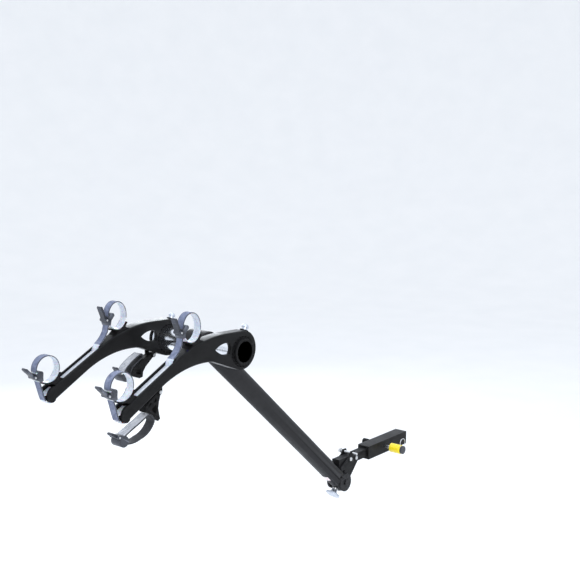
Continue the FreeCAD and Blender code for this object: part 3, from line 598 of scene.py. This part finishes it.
def bead(mesh, points, outward, radius):
    """Weld bead round a closed line: a round section whose size ripples along it."""
    path = []
    count = len(points)
    for i, point in enumerate(points):
        along = (points[(i + 1) % count] - points[i - 1]).normalized()
        side = along.cross(outward[i]).normalized()
        swell = 1.0 + 0.14 * math.sin(i * math.tau / 4)
        path.append((point, side * swell, outward[i] * swell))
    sides = 10
    section = [(radius * math.cos(math.tau * j / sides), radius * math.sin(math.tau * j / sides))
               for j in range(sides)]
    sweep(mesh, path, section, closed=True)


def make_welds():
    """Beads round the mast under its head, and round the knob's boss."""
    head = centre_of("mast_head")
    foot = Vector(joint_named("mast_tilt")["pos_m"])
    down = (foot - head).normalized()
    rearward = ACROSS.cross(down)
    low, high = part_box("mast_tube")
    tube = (high[0] - low[0]) / 2
    low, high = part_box("mast_head")
    barrel = (high[2] - low[2]) / 2
    points, outward = [], []
    for i in range(120):
        angle = math.tau * i / 120
        x, n = tube * math.cos(angle), tube * math.sin(angle)
        points.append(head + ACROSS * x + rearward * n + down * math.sqrt(barrel ** 2 - n ** 2))
        outward.append((ACROSS * x + rearward * n).normalized())
    weld = bmesh.new()
    bead(weld, points, outward, 2.2 * MM)
    solid("mast_head_weld", weld, WELD, "mast")

    boss = centre_of("knob_boss")
    knob_axis = Vector(joint_named("tilt_knob_turn")["axis"]).normalized()
    up_mast = ACROSS.cross(knob_axis)
    start = boss - knob_axis * (boss - foot).dot(knob_axis)
    radius = 11.0 * MM
    points, outward = [], []
    for i in range(60):
        angle = math.tau * i / 60
        x, n = radius * math.cos(angle), radius * math.sin(angle)
        points.append(start + ACROSS * x + up_mast * n + knob_axis * math.sqrt(tube ** 2 - x ** 2))
        outward.append((ACROSS * x + up_mast * n).normalized())
    weld = bmesh.new()
    bead(weld, points, outward, 1.5 * MM)
    solid("knob_boss_weld", weld, WELD, "mast")


def make_rivets():
    """Domed rivet ends on the axle of every lever."""
    dome = [(3.0 * MM, -0.2 * MM), (3.0 * MM, 0.5 * MM), (2.4 * MM, 1.1 * MM), (1.2 * MM, 1.5 * MM),
            (0.3 * MM, 1.6 * MM)]
    for side in SIDES:
        for part, body in (("outer", "arm_"), ("inner", "arm_"), ("sway", "sway_")):
            low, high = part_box(part + "_buckle_" + side)
            place = joint_named(part + "_lever_flip_" + side)["pos_m"]
            mesh = bmesh.new()
            for x, way in ((low[0], -1), (high[0], 1)):
                lathe(mesh, Vector((x, place[1], place[2])), ACROSS * way, dome, 20)
            solid(part + "_rivets_" + side, mesh, LOOKS["steel_hardware"], body + side)


def make_lever_grips():
    """Raised finger ribs across both faces of every lever, near its tip."""
    grip_half, rib_pitch, ribs = 3.2 * MM, 2.6 * MM, 5
    for side in SIDES:
        for part in ("outer", "inner", "sway"):
            low, high = corners_of(part + "_lever_" + side)
            foot = Vector(joint_named(part + "_lever_flip_" + side)["pos_m"])
            tip = Vector((foot.x, low.y + grip_half, high.z - grip_half))
            along = (tip - foot).normalized()
            length = (tip - foot).length
            up = along.cross(ACROSS).normalized()
            mesh = bmesh.new()
            for face in (1, -1):
                for step in range(ribs):
                    point = foot + along * (length - 1 * MM - step * rib_pitch) + up * face * grip_half
                    add_rung(mesh, point, ACROSS, along, up * face, 8.0 * MM, 0.8 * MM, 0.0, 0.7 * MM)
            solid(part + "_lever_ribs_" + side, mesh, LOOKS["buckle_grey"],
                  part + "_lever_" + side)


def make_knob_ribs():
    """Ribs round the rim of the tilt knob."""
    joint = joint_named("tilt_knob_turn")
    axis = Vector(joint["axis"]).normalized()
    centre = Vector(joint["pos_m"])
    corners = [v.co for v in NODES["tilt_knob"].data.vertices]
    rim = max(corners, key=lambda c: ((c - centre) - axis * (c - centre).dot(axis)).length)
    height = (rim - centre).dot(axis)
    radius = ((rim - centre) - axis * height).length
    side_way = axis.cross(ACROSS).normalized()
    ribs = 28
    mesh = bmesh.new()
    for i in range(ribs):
        angle = math.tau * i / ribs
        out = ACROSS * math.cos(angle) + side_way * math.sin(angle)
        tangent = axis.cross(out)
        point = centre + axis * (height + 1.5 * MM) + out * (radius - 0.9 * MM)
        add_rung(mesh, point, axis, tangent, out, 2.2 * MM, 1.1 * MM, 0.0, 1.1 * MM)
    solid("tilt_knob_ribs", mesh, LOOKS["knob_silver"], "tilt_knob")


# rounds on hard edges, in millimetres
SOFT_EDGES = {
    "spline_sleeves": 0.5, "retaining_rings": 0.8, "receiver_adapter": 1.2, "shank_bar": 1.0,
    "bracket_plate_left": 0.6, "bracket_plate_right": 0.6, "arm_beam_right": 1.2, "arm_beam_left": 1.2,
    "lock_end_cap": 1.0, "lock_sleeve": 0.8, "pin_keeper": 0.8, "bracket_bolts": 0.5,
    "bracket_nuts": 0.5, "latch_pin": 0.7, "mast_tube": 0.7,
}
FITTINGS = ("outer_cradle", "inner_cradle", "outer_buckle", "inner_buckle", "sway_buckle",
            "outer_lever", "inner_lever", "sway_lever", "sway_bracket")
FITTING_ROUND = 0.7


def soften_frame():
    for name, width in SOFT_EDGES.items():
        soften_node(name, width * MM)
    for side in SIDES:
        for part in FITTINGS:
            soften_node(part + "_" + side, FITTING_ROUND * MM)


# ---------------------------------------------------------------- camera, light and floor
def make_floor(level):
    """Flat pale floor whose rim sweeps up all round, so that no horizon shows."""
    flat, sweep_up, rim_lift, steps, turns = 6.0, 6.0, 82.0, 20, 96
    profile = [(flat, 0.0)]
    for i in range(1, steps + 1):
        angle = math.radians(rim_lift * i / steps)
        profile.append((flat + sweep_up * math.sin(angle), sweep_up * (1.0 - math.cos(angle))))
    bowl = bmesh.new()
    rings = []
    for radius, height in profile:
        rings.append([bowl.verts.new((radius * math.cos(math.tau * k / turns),
                                      radius * math.sin(math.tau * k / turns), height))
                      for k in range(turns)])
    bowl.faces.new(rings[0])
    for lower, upper in zip(rings, rings[1:]):
        for k in range(turns):
            bowl.faces.new((lower[k], upper[k], upper[(k + 1) % turns], lower[(k + 1) % turns]))
    data = bpy.data.meshes.new("floor")
    bowl.to_mesh(data)
    bowl.free()
    data.shade_smooth()
    floor = bpy.data.objects.new("floor", data)
    floor.location = (0.0, 0.0, level)
    bpy.context.scene.collection.objects.link(floor)
    paint = new_material("studio_floor", (0.86, 0.87, 0.88), 0.8)
    vary_colour(paint, 3.0, (0.86, 0.865, 0.87), (0.885, 0.887, 0.89))
    data.materials.append(paint)


def make_studio():
    """Floor, an even pale sky and three soft lamps aimed at the middle of the rack."""
    low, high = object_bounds()
    floor_gap = 0.36
    make_floor(low[2] - floor_gap)

    world = bpy.data.worlds.new("studio")
    world.use_nodes = True
    background = world.node_tree.nodes["Background"]
    background.inputs["Color"].default_value = (0.90, 0.94, 1.0, 1.0)
    background.inputs["Strength"].default_value = 1.1
    bpy.context.scene.world = world
    bpy.context.scene.view_settings.view_transform = "Standard"

    middle = (Vector(low) + Vector(high)) / 2
    lamps = (("sky", (0.2, -0.6, 3.6), 3.0, 45.0, (0.80, 0.88, 1.0)),
             ("key", (3.0, -2.6, 2.2), 1.2, 42.0, (1.0, 0.98, 0.95)),
             ("rim", (-2.8, 1.2, 1.4), 1.2, 26.0, (0.9, 0.95, 1.0)))
    for name, place, size, power, tint in lamps:
        light = bpy.data.lights.new(name, "AREA")
        light.shape = "SQUARE"
        light.size = size
        light.energy = power
        light.color = tint
        lamp = bpy.data.objects.new(name, light)
        lamp.location = place
        lamp.rotation_euler = (middle - Vector(place)).to_track_quat("-Z", "Y").to_euler()
        bpy.context.scene.collection.objects.link(lamp)


def make_camera():
    """Camera behind and to the right of the rack, a little above it."""
    lens = bpy.data.cameras.new("camera")
    lens.sensor_width = 36.0
    lens.lens = 56.19
    camera = bpy.data.objects.new("camera", lens)
    camera.location = (1.90719, -2.86554, 1.09458)
    camera.rotation_euler = (math.radians(81.97), 0.0, math.radians(39.53))
    bpy.context.scene.collection.objects.link(camera)
    bpy.context.scene.camera = camera


dress_frame()
soften_frame()
make_ladders()
make_welds()
make_rivets()
make_lever_grips()
make_knob_ribs()
make_studio()
make_camera()
